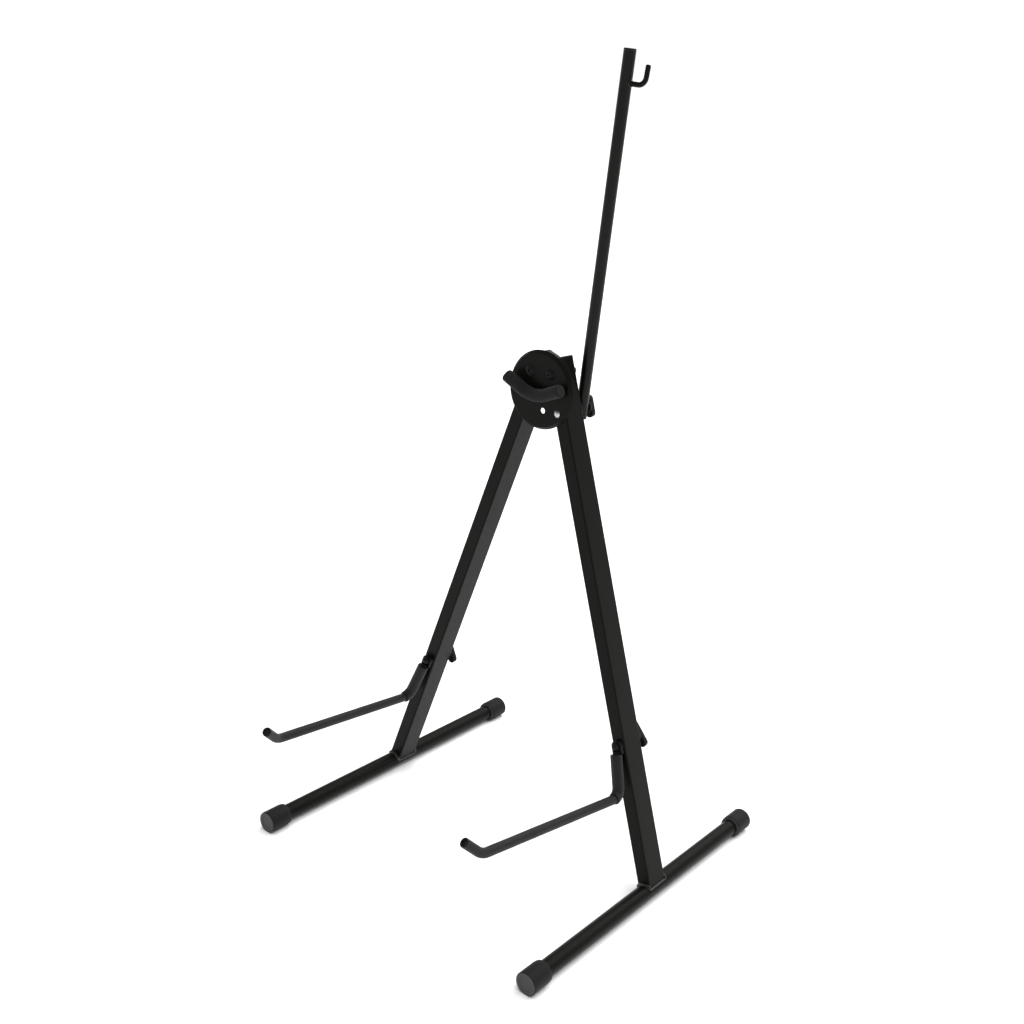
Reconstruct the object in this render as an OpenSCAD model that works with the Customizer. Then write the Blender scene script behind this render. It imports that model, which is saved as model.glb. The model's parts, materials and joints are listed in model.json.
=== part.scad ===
// Folding A-frame stand for a cello or double bass: two hinged legs, a padded
// neck yoke, two forward arms with knobs, and a bow pole with a hook.
// +Z is up, +X is to the right seen from the front, and the front faces -Y.
// The origin is on the floor, under the middle of the whole stand.

/* [Legs] */
// Height of the hub centre above the floor
hub_z = 731; // [650:1:800]
// Lean of each leg from vertical, degrees
lean = 18.45; // [17:0.05:19.5]
// Distance from the hub centre to each leg's centre line
leg_offset = 25; // [25:0.5:28]
// Leg tube width, seen from the front
leg_w = 22; // [18:0.5:22]
// Leg tube depth, front to back
leg_d = 40; // [35:1:45]
// Leg tube wall
leg_wall = 1.5; // [1.2:0.1:2]
// Leg tube corner radius
leg_corner = 2.5; // [2:0.1:4]
// Leg tube above the hub, along the leg
leg_top = 38.5; // [34:0.5:38.5]

/* [Feet] */
// Foot reach in front of the legs
foot_front = 300.5; // [260:0.5:340]
// Foot reach behind the legs
foot_rear = 262.5; // [220:0.5:300]
// Foot tube diameter
foot_d = 25; // [22:0.5:28]
// Foot tube wall
foot_wall = 1.5; // [1.2:0.1:2]
// Rubber cap diameter
cap_d = 34; // [32:0.5:34]
// Rubber cap length
cap_len = 38; // [30:1:45]
// Rubber cap end wall
cap_end = 4; // [3:0.5:6]
// How far the flat sole is cut into the round cap
sole_cut = 0.5; // [0.2:0.1:1]

/* [Hub] */
// Hub plate diameter across its flat face
hub_d = 108; // [104:1:110]
// Hub plate diameter at its rim
hub_rim_d = 115; // [112:1:118]
// Hub plate sheet thickness
hub_t = 2; // [1.5:0.1:2.4]
// Hub plate front face in front of the legs
hub_stand_off = 6; // [5.6:0.1:8]
// Leg bolts above the hub centre, along the leg
bolt_up = 19; // [17:0.5:22]
// Pole bolt below the hub centre, along the leg
bolt_down = 37; // [34:0.5:38]
// Open hole beside the pole bolt, diameter
sight_hole_d = 8.5; // [6:0.5:9]

/* [Yoke] */
// Height of the yoke stem, from the hub centre
yoke_z = -4.5; // [-8:0.5:0]
// Foam grip diameter
foam_d = 19; // [17:0.5:21]
// Steel rod diameter inside the foam
yoke_rod_d = 9.5; // [8:0.5:11]
// Radius of the rod's middle bend
yoke_bend = 50; // [40:1:60]
// Half of the angle turned in the middle bend
yoke_half_turn = 26; // [20:1:35]
// Straight length beyond the bend, each side
yoke_straight = 31; // [25:1:40]
// Tilt of the yoke's plane, where 90 is upright
yoke_tilt = 78; // [70:1:90]
// Turn of the yoke at rest, right side down, degrees
yoke_turn = 2; // [-20:1:20]

/* [Arms] */
// Arm bolt below the hub centre, along the leg
arm_drop = 531; // [480:1:560]
// Arm rod diameter
arm_rod_d = 10; // [8:0.5:11]
// Rubber sleeve diameter
arm_sleeve_d = 14; // [13:0.5:15]
// Thick bumper diameter on the hanging part
arm_bumper_d = 18; // [16:0.5:19]
// Drop from the arm bolt to the lower bend's corner
arm_hang = 72.6; // [60:0.2:80]
// Forward lean of the hanging part, degrees
arm_hang_lean = 10; // [8:0.5:12]
// Straight run from the lower bend's corner to the tip bend's corner
arm_reach = 295; // [250:1:320]
// Rise of the long run, degrees
arm_rise = 7.8; // [5:0.1:10]
// Upward turn at the tip, degrees
tip_turn = 38; // [30:1:60]
// Length of the turned-up tip
tip_len = 39; // [30:1:50]
// Centre-line radius of the arm's lower bend
arm_bend = 16; // [14:1:24]
// Centre-line radius of the arm's tip bend
tip_bend = 30; // [16:1:36]

/* [Bow pole] */
// Pole tube diameter
pole_d = 17; // [15:0.5:18]
// Pole tube wall
pole_wall = 1.5; // [1:0.1:2]
// Pole above its bolt
pole_up = 489; // [400:1:560]
// Pole below its bolt
pole_down = 14; // [12:1:20]
// Lean of the pole to the right, degrees
pole_lean = 3.25; // [2:0.05:6]
// Pole centre line behind the legs' middle
pole_back = 33; // [32:0.5:36]
// Hook above the pole bolt
hook_up = 448.5; // [300:0.5:460]
// Hook rod diameter
hook_d = 7; // [5:0.5:7.5]

/* [Fasteners] */
// Bolt shank diameter
bolt_d = 8; // [8:1:8]
// Leg bolt head diameter
head_d = 16; // [14:0.5:17]
// Leg bolt head height
head_h = 4.2; // [3.5:0.1:4.5]
// Arm bolt head diameter
arm_head_d = 12.5; // [11:0.5:13]
// Arm bolt head height
arm_head_h = 7; // [5:0.5:8]
// Pole bolt head diameter
pole_head_d = 10; // [9.5:0.5:14]
// Pole bolt head height
pole_head_h = 2.4; // [1.5:0.1:3]
// Arm knob wing span
knob_span = 43; // [36:1:44]
// Pole knob wing span
pole_knob_span = 34; // [30:1:44]
// Knob wing width
knob_w = 14; // [11:0.5:15]
// Right arm knob's turn at rest, from the leg, degrees
right_knob_turn = -24; // [-90:1:90]
// Left arm knob's turn at rest, from the leg, degrees
left_knob_turn = 44; // [-90:1:90]
// Pole knob's turn at rest, from the leg, degrees
pole_knob_turn = 0; // [-90:1:90]

/* [Hidden] */
$fn = 96;
run_gap = 0.05;          // radial running clearance of a pin in its hole
face_gap = 0.1;          // gap between flat faces that slide on each other
rim_gap = 0.3;           // gap beside a curved face or a rim that moves
eps = 0.5;               // overrun of a cutting tool
bend_lap = 0.3;          // how far a straight run enters its bend
bend_swell = 0.02;       // how much fatter a bend is than its straight runs
black = [0.09, 0.09, 0.1];
rubber_black = [0.14, 0.14, 0.14];
steel_grey = [0.45, 0.46, 0.48];
brass_yellow = [0.72, 0.6, 0.3];

half_d = leg_d / 2;                          // leg face from the legs' middle
cap_r = cap_d / 2;
foot_z = cap_r - sole_cut;                   // foot tube axis above the floor
foot_drop = (hub_z - foot_z + leg_offset * sin(lean)) / cos(lean);
sleeve_r = arm_sleeve_d / 2;

plug_flange = 2.5;                           // plug plate over the tube end
plug_depth = 12;                             // plug length inside the tube
plug_clear = 0.05;                           // plug to tube wall, each side

hub_front = half_d + hub_stand_off;          // plate front face
hub_depth = hub_stand_off - rim_gap;         // plate face to rim
hub_chamfer = 1.4;                           // softened front edge
spacer_d = 13;
spacer_t = hub_stand_off - hub_t - face_gap;
sight_hole_at = [9.2, -28];                  // from the hub centre, across and up

washer_d = 16;
washer_t = 1.6;
nut_flats = 13;
nut_h = 6.5;
nut_collar_h = 1.8;                          // nylon collar of the lock nut
jam_h = 3;

stem_collar_d = 15;
stem_collar_t = 2.3;
yoke_y = hub_front + face_gap + stem_collar_t + foam_d / 2;
foam_over = 3;                               // foam past the rod's ends
stem_start = yoke_rod_d / 2 - 1;             // stem's front end, from the rod's middle
stem_end = 0.5;                              // stem's rear end to the legs' faces

tongue_w = 17;                               // flattened top of the arm rod
tongue_t = 5;
tongue_drop = 11;                            // bolt to the tongue's lower end
arm_washer_t = 1.5;
tongue_f = arm_washer_t + face_gap + tongue_t / 2;    // tongue centre, forward
rod_top = 7;                                 // bolt to the top of the round rod
rod_f = 8.6;                                 // round rod's centre there, forward
bumper_skip = 4;                             // round rod above the bumper
bumper_turn = 78;                            // lower bend inside the bumper
sleeve_turn = bumper_turn + 1;               // lower bend before the sleeve
hang_len = (arm_hang - rod_top) / cos(arm_hang_lean);
corner_turn = 90 - arm_hang_lean + arm_rise;          // lower bend
hang_run = hang_len - arm_bend * tan(corner_turn / 2);
tip_cut = tip_bend * tan(tip_turn / 2);
reach_run = arm_reach - arm_bend * tan(corner_turn / 2) - tip_cut;
corner_f = rod_f + (arm_hang - rod_top) * tan(arm_hang_lean);
tip_angle = arm_rise + tip_turn;
rod_recess = 3;                              // rod end inside the sleeve's open end
arm_front = half_d + corner_f + arm_reach * cos(arm_rise) + tip_len * cos(tip_angle)
    + sleeve_r * sin(tip_angle);
leg_y = (arm_front - foot_rear) / 2;         // legs' middle, so the origin is central

pole_r = pole_d / 2;
pole_cap_h = 3;
pole_plug_h = 10;
hook_bend = 11;
hook_out = 12;                               // pole face to the hook's bend
hook_turn = 87;
hook_tip = 16;
pole_spacer_d = 18;

knob_hub_d = 18;
knob_hub_h = 4.5;
knob_wing_h = 9.5;
insert_d = 12;
insert_h = 12;
insert_spare = 1;                            // bolt end short of the insert's end
leg_knob_back = half_d + washer_t + face_gap;         // arm knob's seat
pole_knob_back = pole_back + pole_r + rim_gap;        // pole knob's seat

// ---- Placing ----

// Hub centre, in the middle of the legs' depth
module at_hub() { translate([0, leg_y, hub_z]) children(); }

// A leg's own frame: origin on its centre line beside the hub, Z up the leg
module on_leg(side) {
    at_hub() mirror([side < 0 ? 1 : 0, 0, 0]) rotate([0, -lean, 0])
        translate([leg_offset, 0, 0]) children();
}

// Turns a shape drawn up +Z so that it points backwards, along +Y
module backwards() { rotate([-90, 0, 0]) children(); }

// The pole's own frame: origin on its bolt, Z up the pole
module on_pole() {
    on_leg(1) translate([0, pole_back, -bolt_down]) rotate([0, lean + pole_lean, 0]) children();
}

// ---- Shared shapes ----

module round_rect(w, d, r) {
    square([w - 2 * r, d], center = true);
    square([w, d - 2 * r], center = true);
    for (x = [-1, 1], y = [-1, 1])
        translate([x * (w / 2 - r), y * (d / 2 - r)]) circle(r);
}

// Moves on past a straight run and a bend that turns towards +X
module past(length, turn, bend) {
    translate([bend * (1 - cos(turn)), 0, length + bend * sin(turn)]) rotate([0, turn, 0])
        children();
}

// A rod that runs on through [length, turn, bend radius] steps
module bent_rod(steps, r, i = 0) {
    if (i < len(steps)) {
        length = steps[i][0];
        turn = steps[i][1];
        bend = steps[i][2];
        back = i > 0 ? bend_lap : 0;
        ahead = turn > 0 ? bend_lap : 0;
        if (length > 0)
            translate([0, 0, -back]) cylinder(h = length + back + ahead, r = r - bend_swell);
        if (turn > 0)
            translate([bend, 0, length]) rotate([90, 0, 180])
                rotate_extrude(angle = turn) translate([bend, 0]) circle(r);
        past(length, turn, bend) bent_rod(steps, r, i + 1);
    }
}

module ring(od, id, h) {
    difference() {
        cylinder(h = h, d = od);
        translate([0, 0, -eps]) cylinder(h = h + 2 * eps, d = id);
    }
}

// Domed head in front of y = 0 and a shank behind it
module dome_bolt(shank, d, h) {
    backwards() cylinder(h = shank, d = bolt_d);
    cap = d / 2;
    ball = (cap * cap + h * h) / (2 * h);
    rotate([90, 0, 0]) rotate_extrude() intersection() {
        translate([0, h - ball]) circle(ball);
        square([cap, h]);
    }
}

module hex_nut(h, flats = nut_flats) {
    difference() {
        cylinder(h = h, d = flats / cos(30), $fn = 6);
        translate([0, 0, -eps]) cylinder(h = h + 2 * eps, d = bolt_d);
    }
}

module lock_nut() {
    hex_nut(nut_h - nut_collar_h);
    translate([0, 0, nut_h - nut_collar_h]) ring(nut_flats - 0.6, bolt_d, nut_collar_h);
}

// ---- Legs and feet ----

module leg_tube(side) {
    moving = side < 0 ? run_gap : 0;
    color(black) on_leg(side) difference() {
        translate([0, 0, -foot_drop]) linear_extrude(foot_drop + leg_top)
            round_rect(leg_w, leg_d, leg_corner);
        translate([0, 0, -foot_drop - eps]) linear_extrude(foot_drop + leg_top + 2 * eps)
            round_rect(leg_w - 2 * leg_wall, leg_d - 2 * leg_wall, leg_corner - leg_wall);
        translate([0, -leg_d, -foot_drop]) backwards() cylinder(h = 2 * leg_d, d = foot_d);
        translate([0, -leg_d, bolt_up]) backwards()
            cylinder(h = 2 * leg_d, r = bolt_d / 2 + moving);
        translate([0, -leg_d, -arm_drop]) backwards() cylinder(h = 2 * leg_d, d = bolt_d);
        if (side > 0)
            translate([0, -leg_d, -bolt_down]) backwards() cylinder(h = 2 * leg_d, d = bolt_d);
    }
}

module leg_plug(side) {
    color(rubber_black) on_leg(side) translate([0, 0, leg_top]) {
        linear_extrude(plug_flange) round_rect(leg_w, leg_d, leg_corner);
        translate([0, 0, -plug_depth]) linear_extrude(plug_depth)
            round_rect(leg_w - 2 * (leg_wall + plug_clear), leg_d - 2 * (leg_wall + plug_clear),
                leg_corner - leg_wall);
    }
}

module foot_tube(side) {
    color(black) on_leg(side) translate([0, -foot_front + cap_end, -foot_drop])
        backwards() ring(foot_d, foot_d - 2 * foot_wall, foot_front + foot_rear - 2 * cap_end);
}

// Rubber cap on the front (-1) or the rear (+1) end of a foot tube
module foot_cap(side, end) {
    reach = end < 0 ? foot_front : foot_rear;
    chamfer = 2;
    lip = 1;
    x = leg_offset * cos(lean) + foot_drop * sin(lean);
    color(rubber_black) difference() {
        translate([side * x, leg_y + end * reach, foot_z]) rotate([end * 90, 0, 0])
            difference() {
                rotate_extrude() polygon([[0, 0], [cap_r - chamfer, 0], [cap_r, chamfer],
                    [cap_r, cap_len - lip], [cap_r - lip, cap_len], [0, cap_len]]);
                translate([0, 0, cap_end]) cylinder(h = cap_len, d = foot_d);
            }
        translate([side * x, leg_y + end * reach, -cap_d / 2]) cube([cap_d, 3 * cap_len, cap_d],
            center = true);
    }
}

// ---- Hub ----

// A solid that narrows from its rim to its face, which has a chamfered edge
module dish(rim, face, depth, chamfer) {
    rotate_extrude() polygon([[0, 0], [rim, 0], [face, depth - chamfer],
        [face - chamfer, depth], [0, depth]]);
}

// Round pressed plate, open at the back, that joins the tops of the legs
module hub_plate() {
    color(black) difference() {
        at_hub() translate([0, -hub_front + hub_depth, 0]) rotate([90, 0, 0]) difference() {
            dish(hub_rim_d / 2, hub_d / 2, hub_depth, hub_chamfer);
            dish(hub_rim_d / 2 - hub_t, hub_d / 2 - hub_t, hub_depth - hub_t, eps);
            translate([0, 0, -eps]) cylinder(h = 2 * eps, r = hub_rim_d / 2 - hub_t);
        }
        for (side = [-1, 1]) on_leg(side) translate([0, -leg_d, bolt_up]) backwards()
            cylinder(h = leg_d, d = bolt_d);
        on_leg(1) translate([0, -leg_d, -bolt_down]) backwards() cylinder(h = leg_d, d = bolt_d);
        at_hub() translate([0, -leg_d, yoke_z]) backwards()
            cylinder(h = leg_d, r = bolt_d / 2 + run_gap);
        at_hub() translate([sight_hole_at[0], -leg_d, sight_hole_at[1]]) backwards()
            cylinder(h = leg_d, d = sight_hole_d);
    }
}

module spacer_at(side, z) {
    on_leg(side) translate([0, -hub_front + hub_t, z]) backwards() ring(spacer_d, bolt_d, spacer_t);
}

module hub_spacers() {
    color(steel_grey) {
        spacer_at(-1, bolt_up);
        spacer_at(1, bolt_up);
        spacer_at(1, -bolt_down);
    }
}

module hub_bolt(side) {
    shank = hub_front + half_d + face_gap + washer_t + nut_h + 1;
    color(steel_grey) on_leg(side) translate([0, -hub_front, bolt_up])
        dome_bolt(shank, head_d, head_h);
}

module leg_bolt_washers() {
    color(steel_grey) for (side = [-1, 1])
        on_leg(side) translate([0, half_d + face_gap, bolt_up]) backwards()
            ring(washer_d, bolt_d, washer_t);
}

module leg_bolt_nuts() {
    color(steel_grey) for (side = [-1, 1])
        on_leg(side) translate([0, half_d + face_gap + washer_t, bolt_up]) backwards() lock_nut();
}

// ---- Yoke ----

module at_yoke() { at_hub() translate([0, 0, yoke_z]) rotate([0, yoke_turn, 0]) children(); }

// One half of the bent yoke, from its middle out to its end
module yoke_half(r, straight) {
    rotate([90 - yoke_tilt, 0, 0]) rotate([0, 90, 0]) mirror([1, 0, 0])
        bent_rod([[0, yoke_half_turn, yoke_bend], [straight, 0, 0]], r);
}

module yoke_path(r, straight) {
    translate([0, -yoke_y, 0]) {
        yoke_half(r, straight);
        mirror([1, 0, 0]) yoke_half(r, straight);
    }
}

module yoke_stem() {
    color(steel_grey) at_yoke() difference() {
        union() {
            translate([0, -yoke_y + stem_start, 0]) backwards()
                cylinder(h = yoke_y - stem_start - half_d - stem_end, d = bolt_d);
            translate([0, -hub_front - face_gap - stem_collar_t, 0]) backwards()
                cylinder(h = stem_collar_t, d = stem_collar_d);
        }
        yoke_path(yoke_rod_d / 2, yoke_straight);
    }
}

module yoke_jam_nut() {
    color(steel_grey) at_yoke() translate([0, -hub_front + hub_t + face_gap, 0]) backwards()
        hex_nut(jam_h);
}

module yoke_rod() {
    color(black) at_yoke() yoke_path(yoke_rod_d / 2, yoke_straight - foam_over);
}

module yoke_foam() {
    color(rubber_black) at_yoke() difference() {
        yoke_path(foam_d / 2, yoke_straight);
        yoke_path(yoke_rod_d / 2 + run_gap, yoke_straight + eps);
        translate([0, -yoke_y, 0]) backwards() cylinder(h = foam_d, d = bolt_d + 2 * run_gap);
    }
}

// ---- Arms ----

// An arm's frame: origin on its bolt at the leg's front face, Z up the leg
module on_arm(side) { on_leg(side) translate([0, -half_d, -arm_drop]) children(); }

// The arm's middle line, from the top of the round rod
module along_arm() {
    translate([0, -rod_f, -rod_top]) rotate([180 - arm_hang_lean, 0, 0]) rotate([0, 0, 90])
        children();
}

module arm_path(r, over = 0) {
    steps = [[hang_run, corner_turn, arm_bend], [reach_run, tip_turn, tip_bend],
        [tip_len - tip_cut + over, 0, 0]];
    along_arm() bent_rod(steps, r);
}

module arm_bolt(side) {
    head = arm_washer_t + 2 * face_gap + tongue_t;
    shank = head + half_d + leg_knob_back + insert_h - insert_spare;
    color(steel_grey) on_arm(side) translate([0, -head, 0])
        dome_bolt(shank, arm_head_d, arm_head_h);
}

module arm_washers(side) {
    color(rubber_black) on_arm(side) {
        translate([0, -arm_washer_t, 0]) backwards() ring(tongue_w, bolt_d, arm_washer_t);
        translate([0, leg_d, 0]) backwards() ring(washer_d + 2, bolt_d, washer_t);
    }
}

module arm_rod(side) {
    color(black) on_arm(side) difference() {
        union() {
            translate([0, -tongue_f + tongue_t / 2, 0]) rotate([90, 0, 0]) {
                cylinder(h = tongue_t, d = tongue_w);
                translate([-tongue_w / 2, -tongue_drop, 0]) cube([tongue_w, tongue_drop, tongue_t]);
            }
            arm_path(arm_rod_d / 2, -rod_recess);
        }
        translate([0, -leg_d, 0]) backwards() cylinder(h = leg_d, r = bolt_d / 2 + run_gap);
    }
}

// Thick rubber over the hanging part and most of the lower bend
module arm_bumper(side) {
    steps = [[hang_run - bumper_skip, bumper_turn, arm_bend]];
    color(rubber_black) on_arm(side) difference() {
        along_arm() translate([0, 0, bumper_skip]) bent_rod(steps, arm_bumper_d / 2);
        arm_path(arm_rod_d / 2 + run_gap);
    }
}

// Thinner rubber over the rest, open at the tip
module arm_sleeve(side) {
    steps = [[0, corner_turn - sleeve_turn, arm_bend], [reach_run, tip_turn, tip_bend],
        [tip_len - tip_cut, 0, 0]];
    color(rubber_black) on_arm(side) difference() {
        along_arm() past(hang_run, sleeve_turn, arm_bend) bent_rod(steps, sleeve_r);
        arm_path(arm_rod_d / 2 + run_gap, eps);
    }
}

// ---- Knobs ----

// T-knob seated on y = 0 and pointing backwards, with a blind insert seat
module wing_knob(turn, span) {
    reach = (span - knob_w) / 2;
    color(rubber_black) rotate([0, turn, 0]) backwards() difference() {
        union() {
            cylinder(h = knob_hub_h, d = knob_hub_d);
            translate([0, 0, knob_hub_h]) {
                translate([-knob_w / 2, -reach, 0]) cube([knob_w, 2 * reach, knob_wing_h]);
                for (y = [-reach, reach]) translate([0, y, 0])
                    cylinder(h = knob_wing_h, d = knob_w);
            }
        }
        translate([0, 0, -eps]) cylinder(h = insert_h + eps, d = insert_d);
    }
}

module knob_insert() {
    color(brass_yellow) backwards() ring(insert_d, bolt_d + 2 * run_gap, insert_h);
}

module at_arm_knob(side) { on_leg(side) translate([0, leg_knob_back, -arm_drop]) children(); }

module at_pole_knob() { on_leg(1) translate([0, pole_knob_back, -bolt_down]) children(); }

// ---- Bow pole ----

module pole_bolt() {
    shank = hub_front + pole_knob_back + insert_h - insert_spare;
    color(steel_grey) on_leg(1) translate([0, -hub_front, -bolt_down])
        dome_bolt(shank, pole_head_d, pole_head_h);
}

module pole_spacer() {
    color(black) on_leg(1) translate([0, half_d, -bolt_down]) backwards()
        ring(pole_spacer_d, bolt_d, pole_back - pole_r - half_d - rim_gap);
}

module pole_tube() {
    color(black) on_pole() difference() {
        translate([0, 0, -pole_down]) ring(pole_d, pole_d - 2 * pole_wall, pole_down + pole_up);
        translate([0, -pole_d, 0]) backwards()
            cylinder(h = 2 * pole_d, r = bolt_d / 2 + run_gap);
        translate([0, 0, hook_up]) rotate([0, 90, 0]) cylinder(h = pole_d, d = hook_d);
    }
}

module pole_end_plug(flange_h) {
    cylinder(h = flange_h, d = pole_d);
    translate([0, 0, -pole_plug_h + flange_h])
        cylinder(h = pole_plug_h, r = pole_r - pole_wall - plug_clear);
}

module pole_top_cap() {
    color(rubber_black) on_pole() translate([0, 0, pole_up]) pole_end_plug(pole_cap_h);
}

module pole_bottom_plug() {
    color(rubber_black) on_pole() translate([0, 0, -pole_down]) mirror([0, 0, 1])
        pole_end_plug(pole_cap_h / 2);
}

module bow_hook() {
    color(black) on_pole() translate([0, 0, hook_up]) rotate([0, 90, 0]) mirror([1, 0, 0])
        bent_rod([[pole_r + hook_out, hook_turn, hook_bend], [hook_tip, 0, 0]], hook_d / 2);
}

// ---- Build ----

leg_tube(1);  // right_leg_tube
leg_tube(-1);  // left_leg_tube
leg_plug(1);  // right_leg_plug
leg_plug(-1);  // left_leg_plug
foot_tube(1);  // right_foot_tube
foot_tube(-1);  // left_foot_tube
foot_cap(1, -1);  // right_front_foot_cap
foot_cap(1, 1);  // right_rear_foot_cap
foot_cap(-1, -1);  // left_front_foot_cap
foot_cap(-1, 1);  // left_rear_foot_cap
hub_plate();
hub_spacers();
hub_bolt(1);  // leg_bolt
hub_bolt(-1);  // leg_pivot_bolt
leg_bolt_washers();
leg_bolt_nuts();
yoke_stem();
yoke_jam_nut();
yoke_rod();
yoke_foam();
pole_bolt();
pole_spacer();
pole_tube();
pole_top_cap();
pole_bottom_plug();
bow_hook();
at_pole_knob() wing_knob(pole_knob_turn, pole_knob_span);  // pole_knob
at_pole_knob() knob_insert();  // pole_knob_insert
arm_bolt(1);  // right_arm_bolt
arm_washers(1);  // right_arm_washers
arm_rod(1);  // right_arm_rod
arm_bumper(1);  // right_arm_bumper
arm_sleeve(1);  // right_arm_sleeve
at_arm_knob(1) wing_knob(right_knob_turn, knob_span);  // right_arm_knob
at_arm_knob(1) knob_insert();  // right_arm_knob_insert
arm_bolt(-1);  // left_arm_bolt
arm_washers(-1);  // left_arm_washers
arm_rod(-1);  // left_arm_rod
arm_bumper(-1);  // left_arm_bumper
arm_sleeve(-1);  // left_arm_sleeve
at_arm_knob(-1) wing_knob(left_knob_turn, knob_span);  // left_arm_knob
at_arm_knob(-1) knob_insert();  // left_arm_knob_insert
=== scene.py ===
"""Looks of the folding instrument stand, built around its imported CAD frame."""

import json
import math

import bmesh
import bpy
from mathutils import Matrix, Vector, noise


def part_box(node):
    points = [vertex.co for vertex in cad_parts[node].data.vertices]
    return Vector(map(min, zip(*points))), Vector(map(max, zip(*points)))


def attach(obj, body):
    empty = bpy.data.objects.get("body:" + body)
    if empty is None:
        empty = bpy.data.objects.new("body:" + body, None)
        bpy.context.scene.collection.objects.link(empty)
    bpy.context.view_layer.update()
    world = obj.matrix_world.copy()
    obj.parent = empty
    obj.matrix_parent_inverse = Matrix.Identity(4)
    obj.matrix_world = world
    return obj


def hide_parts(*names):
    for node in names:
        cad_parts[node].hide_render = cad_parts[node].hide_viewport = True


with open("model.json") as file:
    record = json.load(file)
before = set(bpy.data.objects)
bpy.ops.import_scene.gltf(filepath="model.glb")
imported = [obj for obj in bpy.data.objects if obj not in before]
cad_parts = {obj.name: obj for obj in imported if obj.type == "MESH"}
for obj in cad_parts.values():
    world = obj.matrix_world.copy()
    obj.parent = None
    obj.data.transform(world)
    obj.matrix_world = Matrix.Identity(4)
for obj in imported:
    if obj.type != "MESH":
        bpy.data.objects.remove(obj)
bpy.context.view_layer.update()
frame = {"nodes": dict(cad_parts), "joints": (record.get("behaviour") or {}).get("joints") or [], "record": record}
MM = 0.001
TAU = 2 * math.pi

# ---- Frames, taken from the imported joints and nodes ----

JOINTS = {j["name"]: j for j in frame["joints"]}


def joint_at(name):
    return Vector(JOINTS[name]["pos_m"])


LEG_Y = joint_at("leg_fold").y
POLE_AT = joint_at("pole_swing")
ARM_AT = joint_at("right_arm_swing")
YOKE_AT = joint_at("yoke_swivel")
LEAN = math.atan2(ARM_AT.x - POLE_AT.x, POLE_AT.z - ARM_AT.z)
BOLT_UP = 19 * MM            # leg bolts above the hub's middle, along a leg
BOLT_DOWN = 37 * MM          # pole bolt below it
ARM_DROP = 531 * MM          # arm bolts below it
LEG_W, LEG_D, LEG_R = 22 * MM, 40 * MM, 2.5 * MM
LEG_TOP = 38.5 * MM          # cut end of a leg above the hub's middle
HALF_D = LEG_D / 2
HUB_FRONT = HALF_D + 6 * MM  # hub plate's front face, from the legs' middle
HUB_Z = YOKE_AT.z + 4.5 * MM
FOOT_R, CAP_R = 12.5 * MM, 17 * MM


def leg_frame(side):
    """A leg's own frame: X across, Y back, Z up the leg, from its middle line beside the hub."""
    up = Vector((-math.sin(LEAN), 0, math.cos(LEAN)))
    across = Vector((math.cos(LEAN), 0, math.sin(LEAN)))
    origin = Vector((ARM_AT.x, LEG_Y, ARM_AT.z)) + up * ARM_DROP
    m = Matrix.Identity(4)
    for row, (a, b, c, o) in enumerate(zip(across, (0, 1, 0), up, origin)):
        m[row][0], m[row][1], m[row][2], m[row][3] = a, b, c, o
    if side < 0:
        m = Matrix.Scale(-1, 4, (1, 0, 0)) @ m
    return m


def at(x, y, z):
    return Matrix.Translation((x, y, z))


def on_leg(side, y, z):
    return leg_frame(side) @ at(0, y, z)


def word_for(side):
    """The side's word in the names of nodes, bodies and pieces; the right is +1."""
    return "left" if side < 0 else "right"


def foot_drop(side):
    """How far down its leg the foot tube's middle line is."""
    lo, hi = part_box(f"{word_for(side)}_foot_tube")
    mid = (lo + hi) / 2
    return -(leg_frame(side).inverted() @ Vector((mid.x, LEG_Y, mid.z))).z


# Turns a shape drawn along +Z so that it points forwards (-Y) or backwards (+Y)
FORWARDS = Matrix.Rotation(math.radians(90), 4, "X")
BACKWARDS = Matrix.Rotation(math.radians(-90), 4, "X")


# ---- Materials ----


def new_material(name, color, roughness, metallic=0.0, specular=0.5):
    mat = bpy.data.materials.new(name)
    mat.use_nodes = True
    nt = mat.node_tree
    bsdf = nt.nodes["Principled BSDF"]
    bsdf.inputs["Base Color"].default_value = (*color, 1)
    bsdf.inputs["Roughness"].default_value = roughness
    bsdf.inputs["Metallic"].default_value = metallic
    bsdf.inputs["Specular IOR Level"].default_value = specular
    return mat, nt, bsdf


def noise_tex(nt, scale, detail=2.0, kind="ShaderNodeTexNoise"):
    out = nt.nodes.new("ShaderNodeTexCoord").outputs["Object"]
    t = nt.nodes.new(kind)
    t.inputs["Scale"].default_value = scale
    if "Detail" in t.inputs:
        t.inputs["Detail"].default_value = detail
    nt.links.new(out, t.inputs["Vector"])
    return t.outputs["Fac"] if "Fac" in t.outputs else t.outputs["Distance"]


def ramp(nt, src, a, b, lo, hi):
    """src mapped from [a, b] to [lo, hi], where lo and hi are numbers."""
    m = nt.nodes.new("ShaderNodeMapRange")
    for key, value in zip(("From Min", "From Max", "To Min", "To Max"), (a, b, lo, hi)):
        m.inputs[key].default_value = value
    nt.links.new(src, m.inputs["Value"])
    return m.outputs["Result"]


def tint(nt, src, dark, light):
    """A colour that runs from dark to light as src goes from 0 to 1."""
    m = nt.nodes.new("ShaderNodeMix")
    m.data_type = "RGBA"
    m.inputs[6].default_value = (*dark, 1)
    m.inputs[7].default_value = (*light, 1)
    nt.links.new(src, m.inputs["Factor"])
    return m.outputs[2]


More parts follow.
